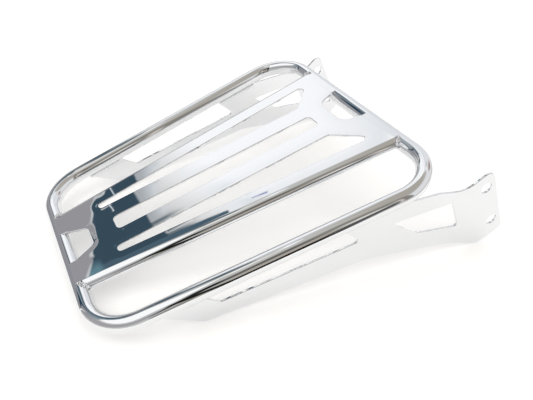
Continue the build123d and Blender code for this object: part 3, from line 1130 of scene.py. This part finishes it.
@dataclass
class Studio:
    """Pale floor, soft light, and the camera of the photograph's view.

    Later panels lie over earlier ones. Another program fitted their angles and colours to the reflections in the
    photograph and wrote the list, and only a few of its numbers were set by hand. The toe and the heel are points of
    the floor, as X and Z. The lamp's place is an azimuth and an elevation, and its width an angle.
    """

    camera_at: tuple[float, float, float] = (-69.06, -318.45, 263.65)
    aim: tuple[float, float, float] = (14.36, -56.35, 0.0)
    roll: float = -16.147
    focal_px: float = 520.0
    image_px: float = 533.0
    toe: Pair = (162.81, -101.78)
    heel: Pair = (-64.96, -39.03)
    floor_colour: str = "#F7F6F4"
    paper_edge: float = -385.0
    paper_reach: float = 900.0
    floor_glow: float = 0.22
    lamp_from: Pair = (175.0, 68.0)
    lamp_strength: float = 1.1
    lamp_width: float = 70.0
    wall: str = "#CFCFCC"
    panels: tuple[Panel, ...] = (
        Panel("ceiling", (44.37, 174.98), (39.63, 72.42), "#B8B3AA", 13, lean=0.36, tilt=-0.07),
        Panel("zenith right", (-10.51, 169.79), (82.94, 100.0), "#FFFDF6", 7.6, tilt=0.01, level=1.03),
        Panel("left structure", (-167.0, -43.03), (23.41, 48.02), "#ADACAF", 4.2, lean=-0.03, tilt=0.02),
        Panel("softbox", (-163.36, -10.94), (55.94, 96.62), "#FFFFFE", 4.6, lean=-0.12, tilt=-0.06, level=1.17),
        Panel("far right", (47.63, 164.6), (-9.2, 33.4), "#EFEFF0", 3, lean=-0.17, tilt=0.03),
        Panel("right wall", (20.44, 68.28), (-8.07, 48.84), "#EEF0F3", 4.5, lean=-0.42, tilt=-0.15),
        Panel("back panel", (3.22, 31.62), (20.13, 44.46), "#FDFEFF", 14, lean=0.3, tilt=-0.13, level=1.16),
        Panel("back low", (-0.02, 18.31), (5.57, 12.19), "#8591A6", 13, lean=0.27, tilt=-0.54),
        Panel("teal strip", (-42.98, -8.8), (36.42, 52.28), "#8FA2AC", 1.7, lean=-0.42, tilt=0.02),
        Panel("dark lean", (-2.34, 12.6), (41.71, 74.34), "#63717A", 4.2, lean=0.54, tilt=0.07),
        Panel("wall edge", (36.0, 54.0), (42.5, 46.0), "#FFFFFE", 2.3, lean=0.08, tilt=0.3, level=1.19),
        Panel("wall edge far", (52.0, 88.0), (36.0, 41.0), "#F9F9FA", 3.3, lean=-0.08, tilt=-0.45),
        Panel("brown patch", (76.0, 90.0), (6.0, 24.0), "#A4928B", 6.8, lean=0.08),
        Panel("dark wire", (35.65, 35.95), (5.05, 24.93), "#4A4E50", 0.66, lean=-0.58),
        Panel("dark line", (-4.17, 1.54), (15.0, 36.0), "#56646F", 2.4, lean=0.18),
        Panel("card low", (-55.8, -12.2), (8.6, 45.7), "#9A9A9F", 12, lean=-0.45, tilt=0.35),
        Panel("teal arc", (-31.0, -25.05), (28.75, 48.0), "#2F4455", 2.5, lean=1.54, tilt=0.02),
        Panel("white arc", (-48.5, -46.25), (10.0, 40.0), "#FFFFFF", 1, lean=0.44),
        Panel("grey step", (0.15, 2.93), (34.45, 42.03), "#B7BBBF", 0.3, lean=-0.07),
        Panel("pale step", (2.34, 3.45), (34.0, 41.42), "#E0E5E9", 2.8, lean=-0.04),
        Panel("teal slab", (-12.0, 0.55), (32.44, 43.47), "#3C515F", 0.39, lean=0.02, tilt=-0.03),
        Panel("teal top", (-12.69, 10.25), (43.07, 44.55), "#4F6675", 0.28, lean=0.09, tilt=0.06),
        Panel("teal light", (-11.75, -8.39), (42.2, 44.18), "#698D9A", 1.2, lean=-0.2),
        Panel("card rim low", (-17.0, -4.92), (33.95, 40.39), "#D2D6D6", 0.3, lean=-1.08, tilt=-0.07),
        Panel("card rim mid", (-17.0, -8.23), (39.45, 41.44), "#D2D6D6", 0.3, lean=-0.15),
        Panel("card rim high", (-17.0, -9.75), (41.65, 43.05), "#D2D6D6", 0.3, lean=-1.44),
        Panel("card", (-17.0, -5.27), (33.95, 40.35), "#A1A0A4", 0.34, lean=-1.03, tilt=-0.04),
        Panel("card mid", (-17.0, -8.87), (39.7, 41.85), "#A1A0A4", 0.34, lean=-0.04),
        Panel("card high", (-17.0, -10.1), (41.31, 43.26), "#A1A0A4", 0.24, lean=-1.8),
        Panel("lamp line", (-3.06, -2.92), (35.2, 38.9), "#EDF7FF", 0.15),
        Panel("blue glint", (14.2, 16.8), (43.18, 43.45), "#5A64B4", 0.25),
        Panel("arc", (22.45, 24.09), (46.01, 69.24), "#E0E6EC", 7.1, lean=0.67, tilt=0.41),
        Panel("arc top", (31.42, 79.91), (76.54, 79.44), "#FFFFFF", 0.58, tilt=0.2, level=1.24),
        Panel("brown", (152.0, 165.5), (-6.0, 62.0), "#908D87", 3.8, lean=0.08, tilt=-0.08),
        Panel("beige line", (161.38, 163.27), (4.0, 36.0), "#D9CFC6", 1.5, lean=-0.1),
        Panel("umber", (168.0, 187.0), (36.0, 60.0), "#6D6A67", 6),
        Panel("tan mid", (169.0, 187.0), (15.0, 36.0), "#B4AEA3", 8),
        Panel("brown low", (169.0, 187.0), (-35.0, 13.0), "#2A211E", 6),
        Panel("slate", (164.4, 173.5), (-6.0, 18.5), "#5A5A5A", 3, lean=-0.03),
        Panel("cream streak", (164.23, 168.93), (22.0, 36.5), "#EEEAE4", 3.1, lean=-0.02),
        Panel("tan strip", (189.57, 193.35), (15.43, 32.92), "#A8A391", 1.5, lean=0.2, tilt=0.03),
        Panel("tan low", (189.5, 195.0), (-2.0, 17.0), "#989691", 2),
        Panel("dark strip", (193.35, 196.57), (16.0, 36.25), "#4C4C4A", 1.5, lean=-0.1, tilt=-0.03),
        Panel("black low", (184.3, 188.75), (-20.0, 41.42), "#1E1D1B", 2, lean=0.19, tilt=-0.03),
        Panel("black high", (185.5, 193.5), (39.0, 62.0), "#222221", 4, lean=0.05),
    )

    def camera(self) -> None:
        """Camera at the photograph's viewing angle, rolled as the rack lies in it."""
        data = bpy.data.cameras.new("photo_camera")
        data.sensor_width = 36.0
        data.lens = 36.0 * self.focal_px / self.image_px
        data.clip_start = 0.01
        camera = shown("photo_camera", data)
        look = (Vector(self.aim) - Vector(self.camera_at)) * MM
        turn = look.to_track_quat("-Z", "Y").to_matrix().to_4x4() @ Matrix.Rotation(math.radians(self.roll), 4, "Z")
        camera.matrix_world = Matrix.Translation(Vector(self.camera_at) * MM) @ turn
        bpy.context.scene.camera = camera

    def floor(self) -> None:
        """The floor that the arms' heels and toes stand on: white paper, lit to white in view, that keeps the shadow.

        It rises towards the rear, so it is clear from underneath and doesn't stand before a view from behind.
        """
        rise = (self.heel[1] - self.toe[1]) / (self.heel[0] - self.toe[0])
        x = self.paper_reach * np.array([-1, 1, 1, -1])
        y = np.array([self.paper_edge, self.paper_edge, self.paper_reach, self.paper_reach])
        z = self.toe[1] + rise * (x - self.toe[0])
        mesh = bpy.data.meshes.new("floor")
        mesh.from_pydata((np.c_[x, y, z] * MM).tolist(), [], [(0, 1, 2, 3)])
        made = bpy.data.materials.new("white_paper")
        tree = emptied(made)
        paper = add_node(tree, "BsdfDiffuse", inputs={"Color": srgb(self.floor_colour)})
        ray = add_node(tree, "LightPath").outputs
        seen = calc(tree, "MAXIMUM", ray["Is Camera Ray"], ray["Is Glossy Ray"])
        seen = calc(tree, "MAXIMUM", seen, ray["Is Transmission Ray"])
        glow = add_node(tree, "Emission", {"Strength": calc(tree, "MULTIPLY", seen, self.floor_glow)})
        both = add_node(tree, "AddShader", {0: paper.outputs[0], 1: glow.outputs[0]})
        under = add_node(tree, "NewGeometry").outputs["Backfacing"]
        clear = add_node(tree, "BsdfTransparent")
        sided = add_node(tree, "MixShader", {0: under, 1: both.outputs[0], 2: clear.outputs[0]})
        add_node(tree, "OutputMaterial", {"Surface": sided.outputs[0]})
        mesh.materials.append(made)
        shown("floor", mesh)

    def world(self) -> None:
        """The studio's panels by direction, and plain white where the camera looks past the rack."""
        world = bpy.data.worlds.new("studio")
        tree = emptied(world)
        way = add_node(tree, "TexCoord").outputs["Generated"]
        axis = add_node(tree, "SeparateXYZ", {0: way}).outputs
        azimuth = calc(tree, "DEGREES", calc(tree, "ARCTAN2", axis["X"], axis["Y"]))
        elevation = calc(tree, "DEGREES", calc(tree, "ARCSINE", axis["Z"]))
        colour = add_node(tree, "RGB").outputs[0]
        colour.default_value = srgb(self.wall)
        for panel in self.panels:
            mask = panel.mask(tree, azimuth, elevation)
            mixed = add_node(tree, "Mix", {"Factor": mask, 6: colour}, {7: panel.light}, data_type="RGBA")
            colour = mixed.outputs[2]
        ray = add_node(tree, "LightPath").outputs["Is Camera Ray"]
        seen = add_node(tree, "Mix", {"Factor": ray, 6: colour}, {7: (1, 1, 1, 1)}, data_type="RGBA")
        light = add_node(tree, "Background", {"Color": seen.outputs[2]}, {"Strength": 1.0})
        add_node(tree, "OutputWorld", {"Surface": light.outputs[0]})
        bpy.context.scene.world = world

    def lamp(self) -> None:
        """Broad lamp above the near side, which lights the paper and gives the rack its soft shadow."""
        azimuth, elevation = np.radians(self.lamp_from)
        data = bpy.data.lights.new("overhead_lamp", "SUN")
        data.energy = self.lamp_strength
        data.angle = math.radians(self.lamp_width)
        lamp = shown("overhead_lamp", data)
        level = math.cos(elevation)
        way = Vector((math.sin(azimuth) * level, math.cos(azimuth) * level, math.sin(elevation)))
        lamp.matrix_world = way.to_track_quat("Z", "Y").to_matrix().to_4x4()
        lamp.visible_glossy = False

    def build(self) -> None:
        """Set up the camera, the floor and the light."""
        self.camera()
        self.floor()
        self.lamp()
        self.world()
        bpy.context.scene.view_settings.view_transform = "Standard"


def main() -> None:
    """Build the rack's pieces in order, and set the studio."""
    logging.basicConfig(level=logging.INFO, format="%(name)s %(message)s")
    LOG.info("%d solids in the frame", len(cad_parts))
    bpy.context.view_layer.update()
    Hoop().build()
    Deck().build()
    for side in Side:
        Arm(side).build()
    Welds().build()
    Studio().build()


if __name__ == "__main__":
    main()
